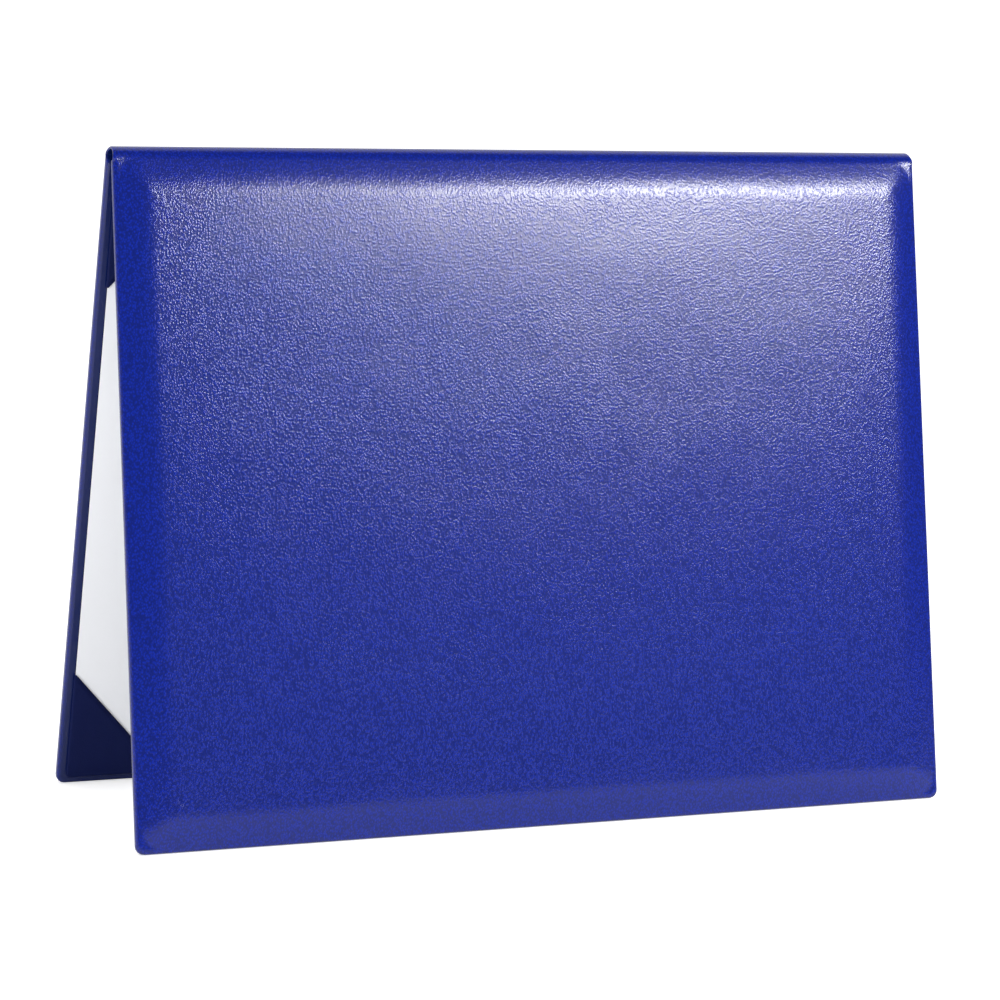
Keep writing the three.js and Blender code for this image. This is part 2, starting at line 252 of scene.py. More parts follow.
def leatherette_material(name, peak, valley_shade, turned, coordinate, pebble_size, roughness, gloss):
    """Embossed PVC on a woven backing: fine round pebbles embossed by a roller, which catch the
    light one by one and turn a lamp's reflection into a broad grainy sheen. Its turned-in border is
    painted darker, as painted shade."""
    material, tree = new_material(name)
    place = add_node(tree, "ShaderNodeTexCoord")
    # Pebbles lie a little longer along one slant, as the roller left them.
    lie = add_node(tree, "ShaderNodeMapping", {
        "Vector": place.outputs[coordinate], "Rotation": (0.0, 0.0, PEBBLE_SLANT),
        "Scale": (1 / pebble_size, 0.75 / pebble_size, 1 / pebble_size)})
    stray = add_node(tree, "ShaderNodeTexNoise", {
        "Vector": lie.outputs["Vector"], "Scale": 0.6, "Detail": 2.0})
    bent = add_node(tree, "ShaderNodeMixRGB", {
        "Color1": lie.outputs["Vector"], "Color2": stray.outputs["Color"], "Fac": 0.12},
        blend_type="ADD")
    cells = add_node(tree, "ShaderNodeTexVoronoi", {
        "Vector": bent.outputs["Color"], "Scale": 1.0, "Randomness": 0.9},
        feature="F1")
    pebble = add_node(tree, "ShaderNodeMapRange", {
        "Value": cells.outputs["Distance"], "From Min": 0.08, "From Max": 0.72, "To Min": 1.0,
        "To Max": 0.0}, interpolation_type="SMOOTHSTEP")
    fine = add_node(tree, "ShaderNodeTexNoise", {
        "Vector": lie.outputs["Vector"], "Scale": 2.4, "Detail": 2.0})
    relief = add_node(tree, "ShaderNodeMath", {
        0: fine.outputs["Fac"], 1: 0.5, 2: pebble.outputs["Result"]}, operation="MULTIPLY_ADD")
    # Where the leatherette is pulled round an edge, its pebbles are drawn flat.
    drawn = add_node(tree, "ShaderNodeAttribute", attribute_name="grain")
    depth = add_node(tree, "ShaderNodeMapRange", {
        "Value": drawn.outputs["Fac"], "To Min": 0.22, "To Max": 0.62})
    bump = add_node(tree, "ShaderNodeBump", {
        "Height": relief.outputs["Value"], "Strength": depth.outputs["Result"],
        "Distance": PEBBLE_DEPTH})
    # Valleys between the pebbles are painted darker than their peaks: painted shade in the grain's
    # hollows.
    tint = add_node(tree, "ShaderNodeMix", {
        "Factor": pebble.outputs["Result"], 6: (*valley_shade, 1), 7: (*peak, 1)}, data_type="RGBA")
    # The turned-in border is painted darker: painted shade where it lies on the cover's inner face.
    shaded_border = add_node(tree, "ShaderNodeAttribute", attribute_name="turned")
    colour = add_node(tree, "ShaderNodeMix", {
        "Factor": shaded_border.outputs["Fac"], 6: tint.outputs[2], 7: (*turned, 1)},
        data_type="RGBA")
    shader = add_node(tree, "ShaderNodeBsdfPrincipled", {
        "Base Color": colour.outputs[2], "Roughness": roughness, "IOR": 1.53,
        "Specular IOR Level": gloss, "Normal": bump.outputs["Normal"]})
    finish_material(tree, shader)
    return material


def fibrous_material(name, colour, shade, fibre, depth, roughness):
    """Pressed fibres or open cells: a dull surface with a fine mottle and hardly any relief."""
    material, tree = new_material(name)
    place = add_node(tree, "ShaderNodeTexCoord")
    fibres = add_node(tree, "ShaderNodeTexNoise", {
        "Vector": place.outputs["Object"], "Scale": 1 / fibre, "Detail": 5.0})
    tint = add_node(tree, "ShaderNodeMix", {
        "Factor": fibres.outputs["Fac"], 6: (*shade, 1), 7: (*colour, 1)}, data_type="RGBA")
    bump = add_node(tree, "ShaderNodeBump", {
        "Height": fibres.outputs["Fac"], "Strength": 0.5, "Distance": depth})
    shader = add_node(tree, "ShaderNodeBsdfPrincipled", {
        "Base Color": tint.outputs[2], "Roughness": roughness, "Specular IOR Level": 0.3,
        "Normal": bump.outputs["Normal"]})
    finish_material(tree, shader)
    return material


def cover_material(kind):
    """The material of that kind, made on first use."""
    if kind in bpy.data.materials:
        return bpy.data.materials[kind]
    colours = bpy.context.scene.cover_colours
    pebble = bpy.context.scene.cover_sizes.pebble_size
    blue, valley_shade = linear(colours.leatherette), linear(colours.leatherette_valley_shade)
    pocket, turned = linear(colours.pocket), linear(colours.turned_in_shade)
    if kind == "embossed_pvc_leatherette":
        return leatherette_material(kind, blue, valley_shade, turned, "UV", pebble, 0.22, 0.4)
    # The hinge strips take the turned-in border's darker colour, which is painted shade.
    if kind == "hinge_strip_leatherette":
        return leatherette_material(kind, turned, turned, turned, "Object", pebble, 0.45, 0.1)
    if kind == "thin_pocket_leatherette":
        return leatherette_material(kind, pocket, pocket, pocket, "Object", pebble, 0.5, 0.08)
    if kind == "coated_lining_card":
        # White art card: smooth and bright, with a faint fibre mottle of half a millimetre.
        lining = linear(colours.lining)
        shade = tuple(0.97 * c for c in lining)
        return fibrous_material(kind, lining, shade, 0.5 * MM, 0.01 * MM, 0.62)
    if kind == "pulp_greyboard":
        # Recycled greyboard: flecks of about a millimetre on a rough grey cut edge.
        grey = linear(colours.greyboard)
        return fibrous_material(kind, grey, tuple(0.6 * c for c in grey), 1 * MM, 0.1 * MM, 0.9)
    # Polyurethane foam: open cells of about half a millimetre in an off-white sheet.
    foam = linear(colours.foam)
    return fibrous_material(kind, foam, tuple(0.7 * c for c in foam), 0.5 * MM, 0.2 * MM, 0.95)


def stand(points, side):
    """Carries points (x, down from the fold line, outward from the fold line) of a flat cover to
    where it stands. side is -1 for the front cover and +1 for the rear one."""
    fold = FRONT_FOLD if side < 0 else REAR_FOLD
    x, down, out = np.asarray(points, float).T
    away = out * math.cos(LEAN) + down * math.sin(LEAN)
    rise = out * math.sin(LEAN) - down * math.cos(LEAN)
    return np.stack([x, fold.y + side * away, fold.z + rise], axis=1)


def edge_section(radius, stack):
    """Points (inset, depth) of leatherette that leaves the face, rounds an edge and turns in."""
    turn = np.linspace(0, math.pi / 2, ARC_STEPS + 1)
    outer = np.stack([radius - radius * np.sin(turn), radius - radius * np.cos(turn)], axis=1)
    inner = np.stack([radius - radius * np.cos(turn), stack - radius + radius * np.sin(turn)],
                     axis=1)
    insets = np.array([0.25, 0.5, 1.0]) * (TURN_IN - radius) + radius
    turned = np.stack([insets, np.full(len(insets), stack)], axis=1)
    return np.concatenate([outer, inner, turned])


def curve(t, handles):
    """Cubic curve from 0 to 1 with these two handles."""
    first, second = handles
    return 3 * (1 - t) ** 2 * t * first + 3 * (1 - t) * t ** 2 * second + t ** 3


def bevel_rise(inset, bevel_width):
    """Share of the bevel's rise at an inset from the cover's edge."""
    t = np.linspace(0, 1, 101)
    share = (inset - EDGE_RADIUS) / (bevel_width - EDGE_RADIUS)
    return np.interp(share, curve(t, BEVEL_ACROSS), curve(t, BEVEL_UP))


def face_rise(x, down, sizes, padded):
    """Rise of the padded face above the cover's edge: a bevel, and a slow crown inside it. At the
    fold the leatherette runs taut from the crest, so the rise begins a little earlier there."""
    if not padded:
        return 0 * down
    width = sizes.bevel_width
    led = down + TOP_LEAD * np.clip(1 - down / width, 0, 1)
    near = [COVER_WIDTH / 2 - np.abs(x), led, COVER_HEIGHT - down]

    def short_of(reach):
        across, top, bottom = (np.clip((reach - n) / (reach - EDGE_RADIUS), 0, 1) for n in near)
        ends = np.maximum(top, bottom)
        return np.minimum((across ** CORNER_POWER + ends ** CORNER_POWER) ** (1 / CORNER_POWER), 1)

    bevel = bevel_rise(width - short_of(width) * (width - EDGE_RADIUS), width)
    crown = 1 - short_of(CROWN_WIDTH) ** 2
    return sizes.pad_rise * ((1 - CROWN_SHARE) * bevel + CROWN_SHARE * crown)


def side_insets(bevel_width, padded):
    """Insets of the grid lines between the wrapped edge and the plateau."""
    near = [EDGE_RADIUS, (EDGE_RADIUS + CORNER_RADIUS) / 2]
    if not padded:
        return np.array([*near, CORNER_RADIUS, *PLAIN_RINGS])
    return np.concatenate([near, np.linspace(CORNER_RADIUS, bevel_width, BEVEL_STEPS)])


def grid_lines(length, insets, spacing):
    """Lines across a face of that length, close together at both ends."""
    count = max(2, round((length - 2 * insets[-1]) / spacing))
    middle = np.linspace(insets[-1], length - insets[-1], count + 1)[1:-1]
    return np.concatenate([insets, middle, length - insets[::-1]])


def round_corners(x, down, bevel_width, padded):
    """Moves a grid's points so that each ring of the grid has rounded corners."""
    half_width, half_height = COVER_WIDTH / 2, COVER_HEIGHT / 2
    across, along = np.abs(x), down - half_height
    ring = np.minimum(half_width - across, half_height - np.abs(along))
    climb = np.clip((ring - EDGE_RADIUS) / (bevel_width - EDGE_RADIUS), 0, 1)
    first = np.where(along > 0, CORNER_RADIUS - EDGE_RADIUS, 0.0)
    last = PLATEAU_RADIUS if padded else 0.0
    # On the plateau the corners get sharper inward, down to a radius of almost nothing.
    inside = np.maximum(ring - bevel_width, 0)
    radius = np.maximum(first + (last - first) * climb - 0.5 * inside, 1e-9)
    a, b = half_width - ring - radius, half_height - ring - radius
    on_side = half_width - across <= half_height - np.abs(along)
    share = np.where(on_side, np.abs(along) - b, across - a) / radius
    angle = np.where(on_side, share, 2 - share) * math.pi / 4
    bent = share > 0
    new_across = np.where(bent, a + radius * np.cos(angle), across)
    new_along = np.where(bent, b + radius * np.sin(angle), np.abs(along))
    return (np.sign(x) * new_across, half_height + np.sign(along) * new_along, ring)


def tuck(value, start, face_end, ring_end):
    """Draws the far end of a line in, so that it ends where its ring's corner begins."""
    share = np.clip((value - start) / (face_end - start), 0, None)
    return np.where(value > start, start + share * (ring_end - start), value)


def crest_rows(side, padded):
    """Rows over the crest from the seam and down the fold to the cover's face: where each lies in
    (y, z), which way is outward, how far its ends are pulled in, and how far it is from the seam."""
    span = REAR_FOLD.y - FRONT_FOLD.y
    radius = ((span / 2) ** 2 + SPINE_RISE ** 2) / (2 * SPINE_RISE)
    centre = np.array([(REAR_FOLD.y + FRONT_FOLD.y) / 2, REAR_FOLD.z + SPINE_RISE - radius])
    half_angle = math.asin(span / 2 / radius)
    outer = radius + SKIN / 2
    turn = abs(side * CREST_END - SEAM_ANGLE)
    count = max(2, round(CREST_STEPS * turn / (math.pi / 2)))
    points, outward, pulls = [], [], []
    for angle in np.linspace(SEAM_ANGLE, side * CREST_END, count + 1):
        way = np.array([math.sin(angle), math.cos(angle)])
        points.append(centre + outer * way)
        outward.append(way)
        rise = (math.cos(angle) - math.cos(half_angle)) / (1 - math.cos(half_angle))
        pulls.append(SPINE_END_PULL * rise)
    # From the crest's end, a smooth curve runs down into the face.
    start, way = points[-1], outward[-1]
    heading = np.array([side * way[1], -side * way[0]])
    downs = EDGE_RADIUS + np.array([0, 0.2 * MM])
    levels = SKIN / 2 + face_rise(0 * downs, downs, bpy.context.scene.cover_sizes, padded)
    end, past = stand(np.stack([0 * downs, downs, levels], axis=1), side)[:, 1:]
    end_heading = (past - end) / np.linalg.norm(past - end)
    reach = np.linalg.norm(end - start)
    for t in np.linspace(0, 1, FOLD_STEPS + 1)[1:]:
        h = [2 * t ** 3 - 3 * t ** 2 + 1, t ** 3 - 2 * t ** 2 + t, 3 * t ** 2 - 2 * t ** 3,
             t ** 3 - t ** 2]
        points.append(h[0] * start + h[1] * reach * heading
                      + h[2] * end + h[3] * reach * end_heading)
        turned = (1 - t) * heading + t * end_heading
        turned /= np.linalg.norm(turned)
        outward.append(np.array([-side * turned[1], side * turned[0]]))
        pulls.append(pulls[count] * (1 - t))
    # The last row is the first of the face's own grid.
    steps = np.linalg.norm(np.diff(points, axis=0), axis=1)
    travelled = np.concatenate([[0], np.cumsum(steps)])
    return Crest(points[:-1], outward[:-1], pulls[:-1], travelled[:-1], travelled[-1])


class Cut:
    """Points of one leatherette sheet, with their places on the flat cut and their layers."""

    def __init__(self):
        self.points, self.uv = [], []
        self.layers = {"slack": [], "grain": [], "turned": []}

    def add(self, points, uv, slack=0.0, grain=0.0, turned=0.0):
        """Adds points and their places on the cut, with one value or a list for each layer."""
        self.points.extend(points)
        self.uv.extend(uv)
        for layer, value in zip(self.layers.values(), (slack, grain, turned)):
            layer.extend(np.broadcast_to(value, len(points)))


def grid_faces(rows, columns):
    """Faces of a grid whose points come row by row, and the index of the middle face."""
    faces = [(r * columns + c, r * columns + c + 1, (r + 1) * columns + c + 1, (r + 1) * columns + c)
             for r in range(rows - 1) for c in range(columns - 1)]
    return faces, (rows // 2) * (columns - 1) + (columns - 1) // 2


def make_mesh(name, points, faces, uv, layers):
    """A mesh with a UV map in metres of the flat cut, and a value for each point and layer."""
    mesh = bpy.data.meshes.new(name)
    mesh.from_pydata([tuple(p) for p in points], [], [tuple(f) for f in faces])
    loops = np.zeros(len(mesh.loops), np.int32)
    mesh.loops.foreach_get("vertex_index", loops)
    mesh.uv_layers.new(name="flat_cut").data.foreach_set("uv", np.asarray(uv)[loops].ravel())
    for layer, values in layers.items():
        attribute = mesh.attributes.new(layer, "FLOAT", "POINT")
        attribute.data.foreach_set("value", np.asarray(values, np.float32))
    mesh.update()
    piece = bpy.data.objects.new(name, mesh)
    bpy.context.scene.collection.objects.link(piece)
    return piece


def face_outward(piece, index, toward):
    """Turns an open sheet so that the face with this index faces the direction given."""
    form = bmesh.new()
    form.from_mesh(piece.data)
    bmesh.ops.recalc_face_normals(form, faces=form.faces)
    form.faces.ensure_lookup_table()
    if form.faces[index].normal.dot(Vector(toward)) < 0:
        bmesh.ops.reverse_faces(form, faces=form.faces)
    form.to_mesh(piece.data)
    form.free()


def add_crest(cut, crest, xs, radii, fall):
    """Adds the rows over the crest. Towards the face, they take up the pad's fall at both ends
    of the fold."""
    edge_x = COVER_WIDTH / 2 - EDGE_RADIUS
    for row, place in enumerate(crest.places):
        reach = COVER_WIDTH / 2 - crest.pulls[row] - radii[row]
        near = max(0, 1 - (len(crest.places) - row) / FOLD_STEPS)
        places = place + near * np.outer(fall, crest.outward[row])
        points = np.column_stack([xs / edge_x * reach, places])
        cut.add(points, [(x, crest.travelled[row]) for x in xs], grain=PRESSED_GRAIN)


def add_face(cut, crest, xs, downs, radii, side, padded):
    """Adds the grid of the cover's face, and gives back its points as they lie in a flat cover."""
    sizes = bpy.context.scene.cover_sizes
    x, down = np.meshgrid(xs, downs)
    new_x, new_down, ring = round_corners(x, down, sizes.bevel_width, padded)
    # Where the stack is thin, its edge's radius is small and the face reaches further out.
    more = (EDGE_RADIUS - radii[len(crest.places):, None]) / (COVER_WIDTH / 2 - EDGE_RADIUS)
    new_x = new_x * (1 + more)
    rise = face_rise(new_x, new_down, sizes, padded)
    flat = np.stack([new_x.ravel(), new_down.ravel(), (SKIN / 2 + rise).ravel()], axis=1)
    uv = np.stack([x.ravel(), (down - EDGE_RADIUS + crest.to_face).ravel()], axis=1)
    inset = ring.ravel()
    slack = np.clip((inset - SLACK_START) / (SLACK_END - SLACK_START), 0, 1)
    cut.add(stand(flat, side), uv, slack=slack, grain=np.clip(inset / GRAIN_END, 0.2, 1))
    return flat


def edge_place(across, down, inset):
    """Where leatherette that rounds an edge lies at this inset, and its way on the flat cut. across
    and down are those of the face's own edge, which the point belongs to."""
    corner_x, corner_down = COVER_WIDTH / 2 - CORNER_RADIUS, COVER_HEIGHT - CORNER_RADIUS
    end_x, end_down = COVER_WIDTH / 2 - inset, COVER_HEIGHT - inset
    radius = max(CORNER_RADIUS - inset, MITRE_RADIUS)
    nothing = 1e-7
    if down <= corner_down + nothing:
        return end_x, tuck(down, 0.8 * COVER_HEIGHT, corner_down, end_down - radius), (1, 0)
    if across <= corner_x + nothing:
        return tuck(across, 0.7 * corner_x, corner_x, end_x - radius), end_down, (0, 1)
    angle = math.atan2(down - corner_down, across - corner_x)
    way = (math.cos(angle), math.sin(angle))
    return end_x - radius + radius * way[0], end_down - radius + radius * way[1], way


def wrap_edges(cut, crest, flat, columns, radii, stacks, side):
    """Adds the rings that round three edges and turn in behind them, and gives back their faces."""
    rows = len(radii)
    # Stations run down one side, along the bottom edge and up the other side.
    stations = [(r, 0) for r in range(rows)]
    stations += [(rows - 1, c) for c in range(1, columns)]
    stations += [(r, columns - 1) for r in range(rows - 2, -1, -1)]
    previous = [r * columns + c for r, c in stations]
    sections = [edge_section(radius, stack) for radius, stack in zip(radii, stacks)]
    faces = []
    for step in range(1, len(sections[0])):
        points, uv = [], []
        for r, c in stations:
            start = r * columns + c
            inset, depth = sections[r][step]
            travel = np.linalg.norm(np.diff(sections[r][:step + 1], axis=0), axis=1).sum()
            hand = math.copysign(1, cut.points[start][0])
            if r < len(crest.places):
                y, z = crest.places[r] - depth * crest.outward[r]
                points.append((hand * (COVER_WIDTH / 2 - crest.pulls[r] - inset), y, z))
                way = (1, 0)
            else:
                edge_x, edge_down = flat[start - len(crest.places) * columns][:2]
                across, down, way = edge_place(abs(edge_x), edge_down, inset)
                points.append(stand([(hand * across, down, SKIN / 2 - depth)], side)[0])
            uv.append(np.array(cut.uv[start]) + travel * np.array([hand * way[0], way[1]]))
        first = len(cut.points)
        current = list(range(first, first + len(stations)))
        # The turned layer fades in the darker turned-in colour where the sheet turns in: painted
        # shade.
        cut.add(points, uv, grain=EDGE_GRAIN if step <= 2 * ARC_STEPS + 1 else PRESSED_GRAIN,
                turned=min(1.0, max(0.0, (step - ARC_STEPS - 1) / ARC_STEPS)))
        faces += [(previous[k], current[k], current[k + 1], previous[k + 1])
                  for k in range(len(stations) - 1)]
        previous = current
    return faces


def build_skin(name, side, padded, spacing):
    """The leatherette of one cover, from the seam on the crest to its three turned-in edges, with
    the size of its flat cut."""
    sizes = bpy.context.scene.cover_sizes
    insets = side_insets(sizes.bevel_width, padded)
    xs = grid_lines(COVER_WIDTH, insets, spacing) - COVER_WIDTH / 2
    downs = grid_lines(COVER_HEIGHT, insets, spacing)
    crest = crest_rows(side, padded)
    below = np.concatenate([crest.travelled - crest.to_face + EDGE_RADIUS, downs])
    swell = np.clip((below + SWELL_LEAD) / SWELL_LENGTH, 0, 1)
    stacks = SPINE_STACK + (BOARD_STACK - SPINE_STACK) * swell * swell * (3 - 2 * swell)
    radii = np.minimum(EDGE_RADIUS, stacks / 2)
    top = face_rise(xs, 0 * xs + EDGE_RADIUS, sizes, padded)

    cut = Cut()
    add_crest(cut, crest, xs, radii, top - top.max())
    flat = add_face(cut, crest, xs, downs, radii, side, padded)
    faces, middle = grid_faces(len(radii), len(xs))
    faces += wrap_edges(cut, crest, flat, len(xs), radii, stacks, side)
    piece = make_mesh(name, cut.points, faces, cut.uv, cut.layers)
    face_outward(piece, middle, (0, side * math.cos(LEAN), math.sin(LEAN)))
    return piece, np.ptp(np.array(cut.uv), axis=0)


def new_tree(name, inputs):
    """A geometry tree with a geometry input and output, and these named inputs."""
    tree = bpy.data.node_groups.new(name, "GeometryNodeTree")
    tree.interface.new_socket("Geometry", in_out="INPUT", socket_type="NodeSocketGeometry")
    tree.interface.new_socket("Geometry", in_out="OUTPUT", socket_type="NodeSocketGeometry")
    for label, kind in inputs.items():
        tree.interface.new_socket(label, in_out="INPUT", socket_type=kind)
    return tree, add_node(tree, "NodeGroupInput").outputs


def end_tree(tree, geometry, material):
    """Ends a tree in smooth plain geometry that has its material."""
    smooth = add_node(tree, "GeometryNodeSetShadeSmooth", {"Geometry": geometry})
    real = add_node(tree, "GeometryNodeRealizeInstances", {"Geometry": smooth.outputs[0]})
    painted = add_node(tree, "GeometryNodeSetMaterial", {
        "Geometry": real.outputs[0], "Material": material})
    add_node(tree, "NodeGroupOutput", {"Geometry": painted.outputs[0]})


def settling_tree():
    """Padding that gives a little: slow waves along the normal, where the sheet is slack."""
    tree, given = new_tree("Settled Leatherette", {
        "Wave Height": "NodeSocketFloat", "Wave Size": "NodeSocketFloat",
        "Seed": "NodeSocketFloat", "Material": "NodeSocketMaterial"})
    place = add_node(tree, "GeometryNodeInputPosition")
    scale = add_node(tree, "ShaderNodeMath", {0: 1.0, 1: given["Wave Size"]}, operation="DIVIDE")
    waves = add_node(tree, "ShaderNodeTexNoise", {
        "Vector": place.outputs[0], "W": given["Seed"], "Scale": scale.outputs[0],
        "Detail": 1.5, "Roughness": 0.4}, noise_dimensions="4D")
    swing = add_node(tree, "ShaderNodeMapRange", {
        "Value": waves.outputs["Fac"], "From Min": 0.3, "From Max": 0.7, "To Min": -1.0,
        "To Max": 1.0})
    slack = add_node(tree, "GeometryNodeInputNamedAttribute", {"Name": "slack"}, data_type="FLOAT")
    give = add_node(tree, "ShaderNodeMath", {
        0: swing.outputs["Result"], 1: slack.outputs[0]}, operation="MULTIPLY")
    height = add_node(tree, "ShaderNodeMath", {
        0: give.outputs[0], 1: given["Wave Height"]}, operation="MULTIPLY")
    normal = add_node(tree, "GeometryNodeInputNormal")
    offset = add_node(tree, "ShaderNodeVectorMath", {
        0: normal.outputs[0], "Scale": height.outputs[0]}, operation="SCALE")
    moved = add_node(tree, "GeometryNodeSetPosition", {
        "Geometry": given["Geometry"], "Offset": offset.outputs[0]})
    end_tree(tree, moved.outputs[0], given["Material"])
    return tree


def corners_tree():
    """One pocket repeated on the four corners of a lining, mirrored across its middle lines."""
    tree, given = new_tree("Four Corners", {"Material": "NodeSocketMaterial"})
    join = add_node(tree, "GeometryNodeJoinGeometry")
    for across in (1, -1):
        for along in (1, -1):
            placed = add_node(tree, "GeometryNodeTransform", {
                "Geometry": given["Geometry"], "Scale": (across, along, 1.0)})
            corner = placed.outputs[0]
            if across * along < 0:
                corner = add_node(tree, "GeometryNodeFlipFaces", {"Mesh": corner}).outputs[0]
            tree.links.new(corner, join.inputs[0])
    end_tree(tree, join.outputs[0], given["Material"])
    return tree


def run_tree(piece, tree, values):
    """Puts a tree on a piece with these values for its named inputs."""
    modifier = piece.modifiers.new(tree.name, "NODES")
    modifier.node_group = tree
    for item in tree.interface.items_tree:
        if item.item_type == "SOCKET" and item.in_out == "INPUT" and item.name in values:
            modifier[item.identifier] = values[item.name]


def thicken(piece, thickness):
    """Gives a sheet its thickness, inward from its outer face."""
    wall = piece.modifiers.new("Thickness", "SOLIDIFY")
    wall.thickness = thickness
    wall.offset = -1
    wall.use_rim = True


def make_plain(piece):
    """Replaces a piece's mesh by what its modifiers make of it, and removes them."""
    evaluated = piece.evaluated_get(bpy.context.evaluated_depsgraph_get())
    mesh = bpy.data.meshes.new_from_object(evaluated)
    piece.modifiers.clear()
    piece.data = mesh
    mesh.name = piece.name


def finish_skin(piece, nodes):
    """Settles and thickens a skin, and hides the parts that it replaces."""
    sizes = bpy.context.scene.cover_sizes
    leatherette = cover_material("embossed_pvc_leatherette")
    tree = bpy.data.node_groups.get("Settled Leatherette") or settling_tree()
    run_tree(piece, tree, {"Wave Height": sizes.wave_height, "Wave Size": sizes.wave_size,
                           "Seed": float(sizes.seed), "Material": leatherette})
    thicken(piece, SKIN)
    make_plain(piece)
    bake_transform(piece)
    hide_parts(*nodes)


class COVER_OT_leatherette(Operator):
    """Wraps both covers and the crest in leatherette"""

    bl_idname = "cover.leatherette"
    bl_label = "Leatherette"

    def execute(self, context):
        front, flat = build_skin("front_leatherette", -1, True, FRONT_SPACING)
        finish_skin(front,
                    ("front_wrap", "spine_wrap"))
        rear, flat = build_skin("rear_leatherette", 1, False, REAR_SPACING)
        finish_skin(rear,
                    ("rear_wrap",))
        return {"FINISHED"}


def pocket_sheet(across, down):
    """One pocket, flat in its lining's plane, its corner at the far right: rows run parallel to
    the open diagonal, and each row folds round the two lining edges to a flap behind. The index
    of a face on the open side comes with the points and the faces."""
    radius = POCKET_STACK / 2
    turn = np.linspace(0, math.pi, 2 * ARC_STEPS + 1)
    span = np.linspace(0, 1, 9)[1:-1]
    right = COVER_WIDTH / 2 - LINING_INSET + POCKET_WRAP
    low = (COVER_HEIGHT - LINING_INSET - LINING_TOP) / 2 + POCKET_WRAP
    # Shares of the way from the corner to the diagonal. The first row leaves room for the turns.
    tip = (radius + 0.01 * MM) / (min(across, down) + POCKET_WRAP)
    rows = np.concatenate([[tip, 0.04, 0.07, 0.11], np.linspace(0.17, 1, 12)])
    points = []
    for share in rows:
        # Distances in from the two folded edges, which lie past the lining by the wrap.
        end_a, end_b = share * (across + POCKET_WRAP), share * (down + POCKET_WRAP)
        flap = max(0.2 * MM, min(POCKET_FLAP, 30 * share * MM, 40 * (1 - share) * MM))
        section = [(radius + reach * flap, POCKET_STACK) for reach in (1.0, 0.5, 0.05)]
        section += [(radius - radius * math.sin(t), radius + radius * math.cos(t)) for t in turn]
        side = [(inset, end_b, level) for inset, level in section]
        bottom = [(end_a, inset, level) for inset, level in reversed(section)]
        face = [(radius + s * (end_a - radius), end_b + s * (radius - end_b), 0.0) for s in span]
        points += [(right - a, low - b, level) for a, b, level in side + face + bottom]
    faces, middle = grid_faces(len(rows), len(points) // len(rows))
    return points, faces, middle


def turn_outward(piece):
    """Turns a closed piece's faces outward where they look inward."""
    form = bmesh.new()
    form.from_mesh(piece.data)
    if form.calc_volume(signed=True) < 0:
        bmesh.ops.reverse_faces(form, faces=form.faces)
        form.to_mesh(piece.data)
    form.free()


class COVER_OT_pockets(Operator):
    """Folds the four corner pockets round the rear lining"""

    bl_idname = "cover.pockets"
    bl_label = "Corner Pockets"

    def execute(self, context):
        sizes = context.scene.cover_sizes
        across, down = sizes.pocket_across, sizes.pocket_down
        points, faces, middle = pocket_sheet(across, down)
        piece = make_mesh("corner_pockets", points, faces, [p[:2] for p in points],
                          {"grain": [POCKET_GRAIN] * len(points)})
        # Inward is down in this flat layout, so the open face of the pocket looks down.
        face_outward(piece, middle, (0, 0, -1))
        run_tree(piece, corners_tree(), {"Material": cover_material("thin_pocket_leatherette")})
        thicken(piece, POCKET_SKIN)
        make_plain(piece)
        # The layout's origin is the lining's middle. A cover's is the fold line.
        place = np.array([vertex.co for vertex in piece.data.vertices])
        flat = place + (0, (LINING_TOP + COVER_HEIGHT - LINING_INSET) / 2, -POCKET_FACE)
        piece.data.vertices.foreach_set("co", stand(flat, 1).ravel())
        piece.data.update()
        turn_outward(piece)
        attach(piece, "rear_cover")
        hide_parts("pocket_top_left", "pocket_top_right", "pocket_bottom_left",
                    "pocket_bottom_right")
        return {"FINISHED"}


class COVER_OT_inner_parts(Operator):
    """Gives the boards, linings, foam and hinge strips their materials"""

    bl_idname = "cover.inner_parts"
    bl_label = "Boards, Linings, Foam and Strips"

    def execute(self, context):
        kinds = {
            "front_board": "pulp_greyboard", "rear_board": "pulp_greyboard",
            "front_lining": "coated_lining_card", "rear_lining": "coated_lining_card",
            "front_pad": "polyurethane_foam",
            "front_hinge_flap": "hinge_strip_leatherette",
            "rear_hinge_flap": "hinge_strip_leatherette",
            "spine_lining": "hinge_strip_leatherette",
        }
        for node, kind in kinds.items():
            materials = frame["nodes"][node].data.materials
            materials.clear()
            materials.append(cover_material(kind))
        return {"FINISHED"}


def add_softbox(name, place, aim, size, power):
    """An area lamp at a place, turned towards a point."""
    lamp = bpy.data.lights.new(name, "AREA")
    lamp.shape = "RECTANGLE"
    lamp.size, lamp.size_y = size
    lamp.energy = power
    box = bpy.data.objects.new(name, lamp)
    box.location = place
    box.rotation_euler = (Vector(aim) - Vector(place)).to_track_quat("-Z", "Y").to_euler()
    bpy.context.scene.collection.objects.link(box)
    return box


def add_camera(studio):
    """The photograph's camera: yaw, pitch and roll turn it from looking along +Y."""
    yaw, pitch, roll = studio.camera_yaw, studio.camera_pitch, studio.camera_roll
    sight = Vector((math.sin(yaw) * math.cos(pitch), math.cos(yaw) * math.cos(pitch),
                    -math.sin(pitch)))
    right = Vector((math.cos(yaw), -math.sin(yaw), 0))
    up = right.cross(sight)
    right, up = (math.cos(roll) * right + math.sin(roll) * up,
                 math.cos(roll) * up - math.sin(roll) * right)
    camera = bpy.data.objects.new("camera", bpy.data.cameras.new("camera"))
    camera.data.sensor_width = 36
    camera.data.lens = studio.camera_lens
    camera.data.shift_y = -0.05
    camera.data.clip_end = 200
    turn = Matrix((right, up, -sight)).transposed().to_4x4()
    camera.matrix_world = Matrix.Translation(studio.camera_place) @ turn
    bpy.context.scene.collection.objects.link(camera)
    bpy.context.scene.camera = camera


